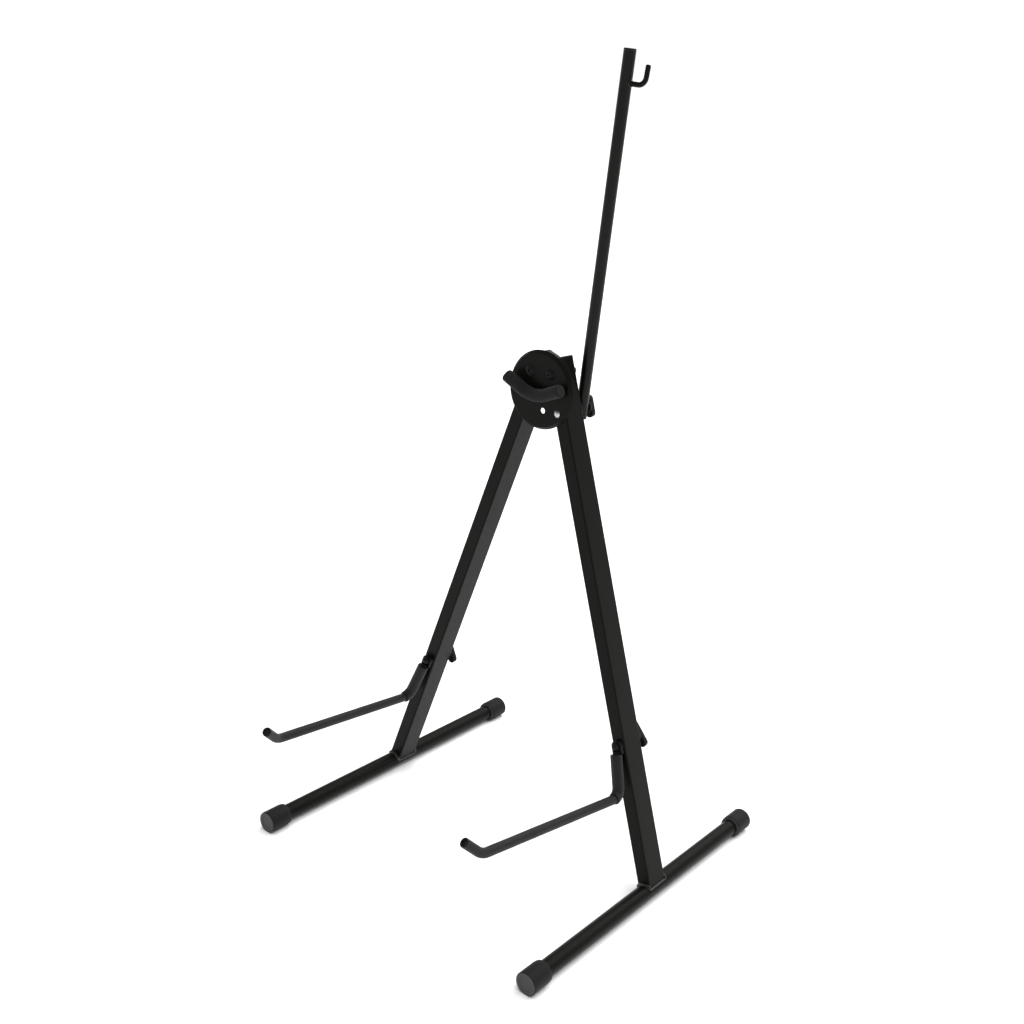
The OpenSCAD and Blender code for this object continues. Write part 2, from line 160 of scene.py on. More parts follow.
def add_bump(nt, bsdf, layers):
    """layers are (height source, strength, distance in metres), stacked from the first."""
    last = None
    for src, strength, distance in layers:
        b = nt.nodes.new("ShaderNodeBump")
        b.inputs["Strength"].default_value = strength
        b.inputs["Distance"].default_value = distance
        nt.links.new(src, b.inputs["Height"])
        if last:
            nt.links.new(last, b.inputs["Normal"])
        last = b.outputs["Normal"]
    nt.links.new(last, bsdf.inputs["Normal"])


def powder_coat(name, specular, roughness=0.36):
    """Black baked paint: faint clouds, a fleck in its gloss and a fine orange peel."""
    mat, nt, bsdf = new_material(name, (0.0036, 0.0035, 0.0030), roughness, specular=specular)
    cloud = noise_tex(nt, 9, 4)
    nt.links.new(tint(nt, cloud, (0.0028, 0.0027, 0.0022), (0.0046, 0.0045, 0.0038)),
                 bsdf.inputs["Base Color"])
    fleck = noise_tex(nt, 160, 3)
    nt.links.new(ramp(nt, fleck, 0.3, 0.7, roughness - 0.05, roughness + 0.05),
                 bsdf.inputs["Roughness"])
    add_bump(nt, bsdf, [(noise_tex(nt, 420, 2), 0.22, 0.25 * MM),
                        (noise_tex(nt, 1500, 2), 0.12, 0.08 * MM)])
    return mat


def rubber(name, color, roughness, grain, specular=0.2, painted_end_light=None):
    """Matt rubber or nylon; faces that look along the foot tubes can take a lighter colour, which is painted light
    falling on those end faces.
    """
    mat, nt, bsdf = new_material(name, color, roughness, specular=specular)
    dust = noise_tex(nt, 26, 5)
    shade = tint(nt, dust, tuple(c * 0.82 for c in color), tuple(c * 1.3 for c in color))
    # Painted light: faces that look along Y, such as the caps' end faces, get a lighter base colour as if more
    # light fell on them
    if painted_end_light:
        split = nt.nodes.new("ShaderNodeSeparateXYZ")
        nt.links.new(nt.nodes.new("ShaderNodeNewGeometry").outputs["Normal"],
                     split.inputs["Vector"])
        size = nt.nodes.new("ShaderNodeMath")
        size.operation = "ABSOLUTE"
        nt.links.new(split.outputs["Y"], size.inputs[0])
        mix = nt.nodes.new("ShaderNodeMix")
        mix.data_type = "RGBA"
        nt.links.new(ramp(nt, size.outputs["Value"], 0.8, 0.98, 0, 1), mix.inputs["Factor"])
        nt.links.new(shade, mix.inputs[6])
        nt.links.new(tint(nt, dust, tuple(c * 0.8 for c in painted_end_light), painted_end_light), mix.inputs[7])
        shade = mix.outputs[2]
    nt.links.new(shade, bsdf.inputs["Base Color"])
    nt.links.new(ramp(nt, dust, 0.3, 0.7, roughness - 0.06, roughness + 0.06),
                 bsdf.inputs["Roughness"])
    add_bump(nt, bsdf, [(noise_tex(nt, grain, 3), 0.35, 0.12 * MM)])
    return mat


def foam():
    """Closed-cell foam: fine cells under a lumpy skin, with a slight sheen."""
    mat, nt, bsdf = new_material("foam", (0.012, 0.012, 0.0125), 0.85, specular=0.15)
    bsdf.inputs["Sheen Weight"].default_value = 0.05
    bsdf.inputs["Sheen Roughness"].default_value = 0.5
    cells = noise_tex(nt, 1100, kind="ShaderNodeTexVoronoi")
    nt.links.new(tint(nt, noise_tex(nt, 45, 5), (0.0062, 0.0062, 0.0065), (0.0104, 0.0104, 0.0109)),
                 bsdf.inputs["Base Color"])
    add_bump(nt, bsdf, [(cells, 0.5, 0.25 * MM), (noise_tex(nt, 220, 3), 0.25, 0.4 * MM)])
    return mat


def metal(name, color, roughness, metallic=1.0, specular=0.5):
    """Plated or turned metal, a little stained, with fine tool marks."""
    mat, nt, bsdf = new_material(name, color, roughness, metallic, specular)
    stain = noise_tex(nt, 60, 4)
    nt.links.new(tint(nt, stain, tuple(c * 0.8 for c in color), color),
                 bsdf.inputs["Base Color"])
    nt.links.new(ramp(nt, stain, 0.3, 0.7, roughness - 0.07, roughness + 0.09),
                 bsdf.inputs["Roughness"])
    add_bump(nt, bsdf, [(noise_tex(nt, 900, 2), 0.1, 0.05 * MM)])
    return mat


POWDER = powder_coat("powder_coat", 0.075)
POLE_COAT = powder_coat("pole_powder_coat", 0.16)
WELD_COAT = powder_coat("weld_powder_coat", 0.5, 0.26)
# The cap rubber's lighter end-face colour below is painted light on the end faces
RUBBER = rubber("cap_rubber", (0.008, 0.008, 0.0083), 0.55, 700, specular=0.12,
                painted_end_light=(0.062, 0.062, 0.062))
SLEEVE = rubber("sleeve_rubber", (0.008, 0.008, 0.0083), 0.5, 900)
PLASTIC = rubber("black_nylon", (0.006, 0.006, 0.0062), 0.42, 1300)
KNOB = rubber("knob_nylon", (0.006, 0.006, 0.0062), 0.44, 1100, specular=0.11)
FOAM = foam()
BOLT = metal("black_zinc", (0.006, 0.006, 0.0063), 0.38, 0.0, 0.13)
ZINC = metal("bright_zinc", (0.50, 0.51, 0.53), 0.3)
BRASS = metal("turned_brass", (0.12, 0.098, 0.06), 0.5)

LOOKS = {
    "black_powder_coat": POWDER, "black_bolt": BOLT, "zinc_steel": ZINC,
    "rubber_cap": RUBBER, "rubber_sleeve": SLEEVE, "yoke_foam": FOAM,
    "black_plastic": PLASTIC, "knob_plastic": KNOB, "brass_insert": BRASS,
}
NODE_SLOT = {s["node"]: s["material_slot"] for s in frame["record"]["subparts"]}
for _name, _obj in frame["nodes"].items():
    _obj.data.materials.clear()
    _obj.data.materials.append(POLE_COAT if _name == "pole_tube" else LOOKS[NODE_SLOT[_name]])

# ---- Mesh building ----


def piece(name, verts, faces, body, slot, place=None, replaces=(), sharp=38, look=None):
    """One finished mesh piece, with its normals outwards, riding on a body."""
    mesh = bpy.data.meshes.new(name)
    mesh.from_pydata([tuple(v) for v in verts], [], faces)
    if place is not None:
        mesh.transform(place)
    bm = bmesh.new()
    bm.from_mesh(mesh)
    bmesh.ops.remove_doubles(bm, verts=bm.verts, dist=1e-7)
    bmesh.ops.recalc_face_normals(bm, faces=bm.faces)
    bm.to_mesh(mesh)
    bm.free()
    mesh.polygons.foreach_set("use_smooth", [True] * len(mesh.polygons))
    mesh.set_sharp_from_angle(angle=math.radians(sharp))
    mesh.materials.append(look or LOOKS[slot])
    obj = bpy.data.objects.new(name, mesh)
    bpy.context.scene.collection.objects.link(obj)
    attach(obj, body)
    if replaces:
        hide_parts(*replaces)
    return obj


def skin(loops, closed=False):
    """Faces between loops of equal length; the first and last are capped unless closed."""
    n = len(loops[0])
    verts = [v for loop in loops for v in loop]
    faces = []
    rows = len(loops) if closed else len(loops) - 1
    for i in range(rows):
        a, b = i * n, ((i + 1) % len(loops)) * n
        for k in range(n):
            faces.append((a + k, a + (k + 1) % n, b + (k + 1) % n, b + k))
    if not closed:
        faces.append(tuple(range(n - 1, -1, -1)))
        faces.append(tuple(range(len(verts) - n, len(verts))))
    return verts, faces


def fillet(points, radius, steps=5):
    """A 2-D open profile with its inner corners rounded; radius is one number or one per corner."""
    out = [Vector(points[0])]
    for i in range(1, len(points) - 1):
        r = radius[i - 1] if hasattr(radius, "__len__") else radius
        p, a, b = Vector(points[i]), Vector(points[i - 1]), Vector(points[i + 1])
        da, db = (a - p), (b - p)
        if r <= 0 or da.length < 1e-9 or db.length < 1e-9:
            out.append(p)
            continue
        half = da.angle(db) / 2
        cut = min(r / math.tan(half), da.length * 0.49, db.length * 0.49)
        s, e = p + da.normalized() * cut, p + db.normalized() * cut
        for k in range(steps + 1):
            t = k / steps
            out.append(s * (1 - t) ** 2 + p * 2 * t * (1 - t) + e * t * t)
    out.append(Vector(points[-1]))
    return out


def lathe(profile, sides=48):
    """Closed solid of revolution about Z from (radius, z) points; its two ends are capped."""
    loops = []
    for r, z in profile:
        loops.append([Vector((r * math.cos(TAU * k / sides), r * math.sin(TAU * k / sides), z))
                      for k in range(sides)])
    return skin(loops)


class Path:
    """A rod's middle line: straight runs and bends in one plane, by distance along it."""

    def __init__(self, origin, e1, e2, start, heading, steps):
        self.o, self.e1, self.e2 = Vector(origin), Vector(e1), Vector(e2)
        self.e3 = self.e1.cross(self.e2)
        self.parts = []
        p, h, s = Vector(start), heading, 0.0
        for length, turn, bend in steps:
            self.parts.append((s, "line", p.copy(), h, length, 0))
            p = p + Vector((math.cos(h), math.sin(h))) * length
            s += length
            if turn:
                self.parts.append((s, "arc", p.copy(), h, bend, turn))
                side = 1 if turn > 0 else -1
                c = p + Vector((-math.sin(h), math.cos(h))) * bend * side
                h2 = h + turn
                p = c + Vector((math.sin(h2), -math.cos(h2))) * bend * side
                h = h2
                s += bend * abs(turn)
        self.length = s

    def at(self, s):
        """Point, in-plane normal and across direction at distance s."""
        part = self.parts[0]
        for q in self.parts:
            if s >= q[0]:
                part = q
        s0, kind, p, h, a, turn = part
        d = s - s0
        if kind == "arc":
            side = 1 if turn > 0 else -1
            c = p + Vector((-math.sin(h), math.cos(h))) * a * side
            h2 = h + side * d / a
            q = c + Vector((math.sin(h2), -math.cos(h2))) * a * side
        else:
            h2 = h
            q = p + Vector((math.cos(h), math.sin(h))) * d
        n2 = Vector((-math.sin(h2), math.cos(h2)))
        return (self.o + self.e1 * q.x + self.e2 * q.y,
                self.e1 * n2.x + self.e2 * n2.y, self.e3.copy())

    def samples(self, a, b, step):
        """Distances from a to b, close in the bends and wide on the straights."""
        out = [a]
        marks = sorted({q[0] for q in self.parts} | {self.length})
        s = a
        while s < b - 1e-9:
            arc = any(q[1] == "arc" and q[0] - 1e-9 <= s < q[0] + q[4] * abs(q[5]) - 1e-9
                      for q in self.parts)
            nxt = s + (step / 4 if arc else step)
            for m in marks:
                if s + 1e-6 < m < nxt:
                    nxt = m
            s = min(nxt, b)
            out.append(s)
        return out


def along(path, stations, sides=40, wobble=None):
    """A skin of rings (distance, radius) along a path; distances may turn back for a bore."""
    loops = []
    for s, r in stations:
        p, n, b = path.at(s)
        loop = []
        for k in range(sides):
            a = TAU * k / sides
            out = n * math.cos(a) + b * math.sin(a)
            rr = r + (wobble(p + out * r, r) if wobble else 0)
            loop.append(p + out * rr)
        loops.append(loop)
    return skin(loops)


def lip(s, r, radius, toward, steps=5):
    """Stations that round an outer end edge; toward is +1 where that end faces along the path."""
    turns = [math.pi / 2 * k / steps for k in range(steps + 1)]
    return [(s - toward * radius * (1 - math.sin(a)), r - radius * (1 - math.cos(a)))
            for a in turns]


def lip_out(s, r, radius, toward, steps=5):
    """The same rounding walked from the end face out to the side."""
    return list(reversed(lip(s, r, radius, toward, steps)))


def ring_loop(r, z, n=64):
    return [Vector((r * math.cos(TAU * k / n), r * math.sin(TAU * k / n), z)) for k in range(n)]


def hex_loop(flats, z, chamfer_r=None, n=72):
    """A hexagon's outline, with its corners cut back to chamfer_r."""
    loop = []
    for k in range(n):
        a = TAU * k / n
        off = (a + math.pi / 6) % (math.pi / 3) - math.pi / 6
        r = flats / 2 / math.cos(off)
        if chamfer_r:
            r = min(r, chamfer_r)
        loop.append(Vector((r * math.cos(a), r * math.sin(a), z)))
    return loop


def stadium_loop(half_len, half_w, z, n=72):
    """A bar's outline with round ends, long in Y, in even angles."""
    loop = []
    reach = max(half_len - half_w, 0)
    for k in range(n):
        a = TAU * k / n
        dx, dy = math.cos(a), math.sin(a)
        # where a ray from the middle meets the outline
        if abs(dx) > 1e-9 and abs(dy / dx) * half_w <= reach:
            t = half_w / abs(dx)
        else:
            cy = math.copysign(reach, dy)
            b = dy * cy
            t = b + math.sqrt(max(b * b - cy * cy + half_w * half_w, 0))
        loop.append(Vector((dx * t, dy * t, z)))
    return loop


def rect_loop(w, d, r, z, per=6):
    """A rounded rectangle's outline."""
    loop = []
    for sx, sy, a0 in ((1, 1, 0), (-1, 1, 90), (-1, -1, 180), (1, -1, 270)):
        for k in range(per + 1):
            a = math.radians(a0 + 90 * k / per)
            loop.append(Vector((sx * (w / 2 - r) + r * math.cos(a),
                                sy * (d / 2 - r) + r * math.sin(a), z)))
    return loop


def bead(name, points, radii, body, period=2.6 * MM, seed=0.0):
    """A weld bead round a closed seam: overlapping ripples, with a radius for each point."""
    sides, trough, ripple, uneven, grain = 16, 0.9, 0.16, 0.12, 900
    loops = []
    dist = 0.0
    for i, p in enumerate(points):
        a, b = points[i - 1], points[(i + 1) % len(points)]
        t = (b - a).normalized()
        ref = Vector((0, 0, 1)) if abs(t.z) < 0.8 else Vector((1, 0, 0))
        u = t.cross(ref).normalized()
        v = t.cross(u)
        phase = (dist / period) % 1
        r = radii[i] * (trough + ripple * abs(math.cos(math.pi * phase)))
        r *= 1 + uneven * noise.noise(p * grain + Vector((seed, 0, 0)))
        loops.append([p + (u * math.cos(TAU * k / sides) + v * math.sin(TAU * k / sides)) * r
                      for k in range(sides)])
        dist += (b - a).length / 2
    verts, faces = skin(loops, closed=True)
    return piece(name, verts, faces, body, "black_powder_coat", sharp=80, look=WELD_COAT)


# ---- Feet ----


def foot_cap(side, end):
    """Moulded rubber ferrule: a drawn-in mouth, a rounded rim and a slightly dished end face."""
    word = word_for(side)
    node = f"{word}_{('front', 'rear')[end > 0]}_foot_cap"
    lo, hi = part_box(node)
    length = hi.y - lo.y
    dish, bore, seat = 0.7 * MM, FOOT_R + 0.05 * MM, 6 * MM
    profile = fillet([(1 * MM, dish), (9 * MM, dish), (11 * MM, 0), (CAP_R, 0),
                      (CAP_R, length - 6 * MM), (CAP_R - 0.8 * MM, length),
                      (bore + 0.25 * MM, length), (bore, length - 2 * MM),
                      (bore, seat), (1 * MM, seat)],
                     [0.6 * MM, 0.5 * MM, 1.9 * MM, 3 * MM, 0.9 * MM, 0.5 * MM, 0, 0])
    verts, faces = lathe([(p.x, p.y) for p in profile], 72)
    centre = Vector(((lo.x + hi.x) / 2, lo.y if end < 0 else hi.y, hi.z - CAP_R))
    place = at(*centre) @ (BACKWARDS if end < 0 else FORWARDS)
    verts = [place @ v for v in verts]
    for v in verts:          # the worn flat that the cap stands on
        v.z = max(v.z, 0.0)
    return piece(node + "_moulding", verts, faces, f"{word}_frame", "rubber_cap",
                 replaces=[node], sharp=30)


def foot_weld(side):
    """The weld all round where the leg stands on its foot tube, heaped in front and behind."""
    thin, heaped, heap_from, step = 1.6 * MM, 2.6 * MM, 0.8, 0.65 * MM
    out_x, out_y = 1.02, 1.012         # the seam runs just outside the leg
    m, drop, word = leg_frame(side), foot_drop(side), word_for(side)
    outline = []
    base = rect_loop(LEG_W, LEG_D, LEG_R, 0, per=5)
    for i, p in enumerate(base):
        q = base[(i + 1) % len(base)]
        count = max(1, int((q - p).length / step))
        outline += [p.lerp(q, k / count) for k in range(count)]
    seam, radii = [], []
    for p in outline:
        z = -drop + math.sqrt(FOOT_R ** 2 - p.x ** 2)
        end_on = max(0, abs(p.y) / HALF_D - heap_from) / (1 - heap_from)
        seam.append(m @ Vector((p.x * out_x, p.y * out_y, z)))
        radii.append(thin + heaped * end_on * (1 - 0.5 * (2 * p.x / LEG_W) ** 2))
    return bead(f"{word}_foot_weld", seam, radii, f"{word}_frame", seed=side * 7.0)


for side in (1, -1):
    for end in (-1, 1):
        foot_cap(side, end)
    foot_weld(side)


# ---- Leg plugs ----


def leg_plug(side):
    """Moulded end plug: a spigot down the leg and a cap with a rounded top edge."""
    word = word_for(side)
    cap_h, spigot, wall, edge, corner = 2.5 * MM, 12 * MM, 3.2 * MM, 1.3 * MM, 1 * MM
    loops = [rect_loop(LEG_W - wall, LEG_D - wall, corner, -spigot),
             rect_loop(LEG_W - wall, LEG_D - wall, corner, 0),
             rect_loop(LEG_W - 0.5 * MM, LEG_D - 0.5 * MM, 2.3 * MM, 0),
             rect_loop(LEG_W, LEG_D, LEG_R, 0.25 * MM)]
    for k in range(6):
        a = math.pi / 2 * k / 5
        inset = edge * (1 - math.cos(a))
        loops.append(rect_loop(LEG_W - 2 * inset, LEG_D - 2 * inset, LEG_R - inset * 0.5,
                               cap_h - edge * (1 - math.sin(a))))
    loops.append(rect_loop(LEG_W * 0.45, LEG_D * 0.7, corner, cap_h))
    verts, faces = skin(loops)
    return piece(f"{word}_leg_plug_moulding", verts, faces, f"{word}_frame", "black_plastic",
                 leg_frame(side) @ at(0, 0, LEG_TOP), [f"{word}_leg_plug"])


for side in (1, -1):
    leg_plug(side)

# ---- Hub plate ----

HUB_SHARP = 34               # degrees, where the plate's shading breaks
BOLT_R = 4 * MM


def cut_holes(obj, holes):
    """Drills round holes along Y through a piece: (middle, radius) in world metres."""
    reach, weld, sliver, flat = 20 * MM, 0.004 * MM, 0.002 * MM, 0.999
    for middle, radius in holes:
        verts, faces = skin([ring_loop(radius, z, 56) for z in (-reach, reach)])
        mesh = bpy.data.meshes.new("drill")
        mesh.from_pydata([tuple(v) for v in verts], [], faces)
        mesh.transform(at(*middle) @ BACKWARDS)
        drill = bpy.data.objects.new("drill", mesh)
        bpy.context.scene.collection.objects.link(drill)
        cut = obj.modifiers.new("cut", "BOOLEAN")
        cut.operation, cut.object, cut.solver = "DIFFERENCE", drill, "EXACT"
        bpy.context.view_layer.update()
        done = bpy.data.meshes.new_from_object(obj.evaluated_get(
            bpy.context.evaluated_depsgraph_get()))
        obj.modifiers.clear()
        obj.data = done
        bpy.data.objects.remove(drill)
    bm = bmesh.new()
    bm.from_mesh(obj.data)
    bmesh.ops.remove_doubles(bm, verts=bm.verts, dist=weld)
    bmesh.ops.dissolve_degenerate(bm, edges=bm.edges, dist=sliver)
    bmesh.ops.holes_fill(bm, edges=[e for e in bm.edges if e.is_boundary])
    bm.to_mesh(obj.data)
    bm.free()
    obj.data.set_sharp_from_angle(angle=math.radians(HUB_SHARP))
    for face in obj.data.polygons:
        face.use_smooth = abs(face.normal.y) < flat


def hub_plate():
    """Pressed dish with a softly rounded front edge, a rolled rim and five holes."""
    rim, face, depth, t, centre = 57.5 * MM, 54 * MM, 5.7 * MM, 2 * MM, 9 * MM
    profile = fillet([(centre, depth), (face - 0.6 * MM, depth), (rim, 0.3 * MM),
                      (rim - 0.4 * MM, 0), (rim - t, 0), (face - t - 0.6 * MM, depth - t),
                      (centre, depth - t)],
                     [1.7 * MM, 0.3 * MM, 0.3 * MM, 0.3 * MM, 0.9 * MM], 7)
    verts, faces = lathe([(q.x, q.y) for q in profile], 160)
    middle = Vector((0, LEG_Y - HUB_FRONT + depth, HUB_Z))
    obj = piece("hub_plate_pressing", verts, faces, "right_frame", "black_powder_coat",
                at(*middle) @ FORWARDS, ["hub_plate"], sharp=HUB_SHARP)
    holes = [(on_leg(side, -HUB_FRONT, BOLT_UP).translation, BOLT_R) for side in (1, -1)]
    holes += [(on_leg(1, -HUB_FRONT, -BOLT_DOWN).translation, BOLT_R),
              (Vector((0, LEG_Y - HUB_FRONT, YOKE_AT.z)), 4.05 * MM),
              (Vector((9.2 * MM, LEG_Y - HUB_FRONT, HUB_Z - 28 * MM)), 4.25 * MM)]
    cut_holes(obj, holes)


# ---- Fasteners ----


def shank_loops(shank):
    """A bolt's shank down from its head, with a chamfered end."""
    return [ring_loop(0.4 * MM, -shank), ring_loop(3.0 * MM, -shank),
            ring_loop(BOLT_R, -shank + 1 * MM), ring_loop(BOLT_R, 0)]


def button_bolt(name, place, head_r, head_h, shank, body, slot, node, flats):
    """Domed head, with a hexagon socket where flats gives its width."""
    ball, rim, top = (head_r ** 2 + head_h ** 2) / (2 * head_h), 0.3 * MM, 0.2 * MM
    loops = shank_loops(shank) + [ring_loop(head_r - 0.35 * MM, 0), ring_loop(head_r, rim)]
    for k in range(1, 9):
        h = rim + (head_h - rim - top) * k / 8
        r = math.sqrt(ball ** 2 - (ball - head_h + h) ** 2)
        loops.append(ring_loop(min(r, head_r), h))
    if flats:
        loops.append(ring_loop(flats / 2 + 1.1 * MM, head_h - 0.15 * MM))
        loops.append(hex_loop(flats, head_h - 0.45 * MM, n=64))
        loops.append(hex_loop(flats, head_h - 2.6 * MM, n=64))
        loops.append(hex_loop(1 * MM, head_h - 3.2 * MM, n=64))
    else:
        loops.append(ring_loop(0.2 * head_r, head_h - 0.05 * MM))
    verts, faces = skin(loops)
    return piece(name, verts, faces, body, slot, place, [node], sharp=32)


def acorn_bolt(name, place, shank, body, node):
    """Hexagon head with a domed cap on it."""
    flats, hex_h, dome_r = 10.8 * MM, 3.2 * MM, 4.9 * MM
    dome_z = hex_h + 0.25 * MM
    loops = shank_loops(shank)
    loops += [ring_loop(5.2 * MM, 0), hex_loop(flats, 0.35 * MM, 5.8 * MM, 64),
              hex_loop(flats, 0.7 * MM, None, 64), hex_loop(flats, hex_h - 0.5 * MM, None, 64),
              hex_loop(flats, hex_h, 5.6 * MM, 64), ring_loop(dome_r + 0.15 * MM, hex_h + 0.1 * MM)]
    for k in range(10):
        a = math.pi / 2 * k / 10
        loops.append(ring_loop(dome_r * math.cos(a),
                               dome_z + (ARM_HEAD_H - dome_z) * math.sin(a)))
    verts, faces = skin(loops)
    return piece(name, verts, faces, body, "black_bolt", place, [node], sharp=32)


def bolt_shank(node, head_h):
    """A bolt node's length without its head."""
    lo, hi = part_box(node)
    return hi.y - lo.y - head_h


HEAD_R, HEAD_H, SOCKET = 8 * MM, 4.2 * MM, 5 * MM
POLE_HEAD_R, POLE_HEAD_H = 5 * MM, 2.4 * MM
ARM_HEAD_H = 7 * MM
ARM_HEAD_Y = -(HALF_D + (1.5 + 0.2 + 5) * MM)     # past the washer, a gap and the tongue

hub_plate()
for side, node in ((1, "leg_bolt"), (-1, "leg_pivot_bolt")):
    button_bolt(node + "_socket_head", on_leg(side, -HUB_FRONT, BOLT_UP) @ FORWARDS, HEAD_R,
                HEAD_H, bolt_shank(node, HEAD_H), "right_frame", "black_bolt", node, SOCKET)
button_bolt("pole_bolt_low_head", on_leg(1, -HUB_FRONT, -BOLT_DOWN) @ FORWARDS, POLE_HEAD_R,
            POLE_HEAD_H, bolt_shank("pole_bolt", POLE_HEAD_H), "right_frame", "zinc_steel",
            "pole_bolt", 0)
for side in (1, -1):
    word = word_for(side)
    acorn_bolt(f"{word}_arm_bolt_cap_head", on_leg(side, ARM_HEAD_Y, -ARM_DROP) @ FORWARDS,
               bolt_shank(f"{word}_arm_bolt", ARM_HEAD_H), f"{word}_frame", f"{word}_arm_bolt")


def lock_nuts():
    """Chamfered hexagons with their nylon collars, one piece each side."""
    flats, bore, n = 13 * MM, 4.1 * MM, 72
    washer_back = HALF_D + 1.7 * MM
    loops = [ring_loop(bore, 0.2 * MM, n), ring_loop(6.2 * MM, 0, n),
             hex_loop(flats, 0.35 * MM, 6.9 * MM), hex_loop(flats, 0.8 * MM, 7.5 * MM),
             hex_loop(flats, 4.2 * MM, 7.5 * MM), hex_loop(flats, 4.7 * MM, 6.9 * MM),
             ring_loop(6.2 * MM, 4.75 * MM, n), ring_loop(6.1 * MM, 6.0 * MM, n),
             ring_loop(5.7 * MM, 6.5 * MM, n), ring_loop(4.4 * MM, 6.5 * MM, n),
             ring_loop(bore, 6.2 * MM, n)]
    verts, faces = skin(loops, closed=True)
    for side in (1, -1):
        piece(f"{word_for(side)}_lock_nut", verts, faces, "right_frame", "zinc_steel",
              on_leg(side, washer_back, BOLT_UP) @ BACKWARDS, ["leg_bolt_nuts"], sharp=28)


lock_nuts()

# ---- Yoke ----

YOKE_ROD_R, FOAM_R = 4.75 * MM, 9.5 * MM
YOKE_BEND, YOKE_TURN, YOKE_STRAIGHT = 50 * MM, math.radians(26), 31 * MM
YOKE_TILT = math.radians(12)                      # forwards, from the vertical
YOKE_REST = Matrix.Rotation(math.radians(2), 3, "Y")


def yoke_path():
    """The yoke's shallow V, from its left end to its right end."""
    up = YOKE_REST @ Vector((0, -math.sin(YOKE_TILT), math.cos(YOKE_TILT)))
    run = YOKE_STRAIGHT
    start = -(YOKE_BEND * math.sin(YOKE_TURN) + run * math.cos(YOKE_TURN))
    rise = YOKE_BEND * (1 - math.cos(YOKE_TURN)) + run * math.sin(YOKE_TURN)
    return Path(YOKE_AT, YOKE_REST @ Vector((1, 0, 0)), up, (start, rise), -YOKE_TURN,
                [(run, 2 * YOKE_TURN, YOKE_BEND), (run, 0, 0)])


def foam_grip():
    """Foam tube with soft, closed ends, a little uneven."""
    path = yoke_path()
    end = path.length
    inner, deep, tip = YOKE_ROD_R - 1 * MM, 0.4 * MM, 0.3 * MM
    r, soft, step = FOAM_R - 0.15 * MM, 3 * MM, 3 * MM
    stations = [(deep, tip), (deep * 0.7, inner)]
    stations += lip_out(0, r, soft, -1)
    stations += [(s, r) for s in path.samples(soft, end - soft, step)[1:-1]]
    stations += lip(end, r, soft, 1)
    stations += [(end - deep * 0.7, inner), (end - deep, tip)]

    def uneven(p, radius):
        if radius < FOAM_R * 0.5:
            return 0
        return 0.13 * MM * noise.noise(p * 120) + 0.06 * MM * noise.noise(p * 400)

    verts, faces = along(path, stations, 64, uneven)
    obj = piece("yoke_foam_grip", verts, faces, "neck_yoke", "yoke_foam",
                replaces=["yoke_foam"], sharp=60)


foam_grip()

# ---- Arms ----

ROD_R, SLEEVE_R, BUMPER_R = 5 * MM, 7 * MM, 9 * MM
TONGUE_F, TONGUE_W, TONGUE_T = 4.1 * MM, 17 * MM, 5 * MM
ROD_F, ROD_TOP, BUMPER_SKIP = 8.6 * MM, 7 * MM, 4 * MM
HANG, HANG_LEAN = 72.6 * MM, math.radians(10)
REACH, RISE = 295 * MM, math.radians(7.8)
TIP_TURN, TIP_LEN, ARM_BEND, TIP_BEND = math.radians(38), 39 * MM, 16 * MM, 30 * MM
CORNER_TURN = math.pi / 2 - HANG_LEAN + RISE
CORNER_CUT = ARM_BEND * math.tan(CORNER_TURN / 2)
TIP_CUT = TIP_BEND * math.tan(TIP_TURN / 2)
HANG_RUN = (HANG - ROD_TOP) / math.cos(HANG_LEAN) - CORNER_CUT
BUMPER_END = HANG_RUN + ARM_BEND * math.radians(78)
SLEEVE_START = HANG_RUN + ARM_BEND * math.radians(79)


def arm_path(side):
    """The arm rod's middle line: down from the tongue, forwards, and up at the tip."""
    m = leg_frame(side)
    up = Vector((m[0][2], m[1][2], m[2][2]))
    origin = m @ Vector((0, -HALF_D, -ARM_DROP))
    steps = [(HANG_RUN, CORNER_TURN, ARM_BEND),
             (REACH - CORNER_CUT - TIP_CUT, TIP_TURN, TIP_BEND), (TIP_LEN - TIP_CUT, 0, 0)]
    return Path(origin, (0, -1, 0), up, (ROD_F, -ROD_TOP), -math.pi / 2 + HANG_LEAN, steps)


def tube_over(path, first, end, radius, inner, lip_r, open_tip):
    """Stations of a rubber tube drawn over a rod, with rounded lips."""
    step, tip_deep = 12 * MM, 3 * MM
    stations = [(first + 1 * MM, inner), (first, inner + 0.3 * MM)]
    stations += lip_out(first, radius, lip_r, -1)
    stations += [(s, radius) for s in path.samples(first + lip_r, end - lip_r, step)[1:-1]]
    stations += lip(end, radius, lip_r, 1)
    stations += [(end, inner + 0.4 * MM), (end - 0.5 * MM, inner)]
    if open_tip:
        stations += [(end - tip_deep, inner), (end - tip_deep, 0.3 * MM)]
    return stations


def arm_rubber(side):
    """Thick bumper over the hanging part, then the thinner sleeve out to the tip."""
    word = word_for(side)
    path = arm_path(side)
    inner = ROD_R + 0.1 * MM
    for name, node, first, end, radius, lip_r, tip in (
            ("bumper_rubber", "bumper", BUMPER_SKIP, BUMPER_END, BUMPER_R, 1.6 * MM, False),
            ("sleeve_rubber", "sleeve", SLEEVE_START, path.length, SLEEVE_R, 0.9 * MM, True)):
        verts, faces = along(path, tube_over(path, first, end, radius, inner, lip_r, tip), 48)
        piece(f"{word}_arm_{name}", verts, faces, f"{word}_arm", "rubber_sleeve",
              replaces=[f"{word}_arm_{node}"], sharp=50)


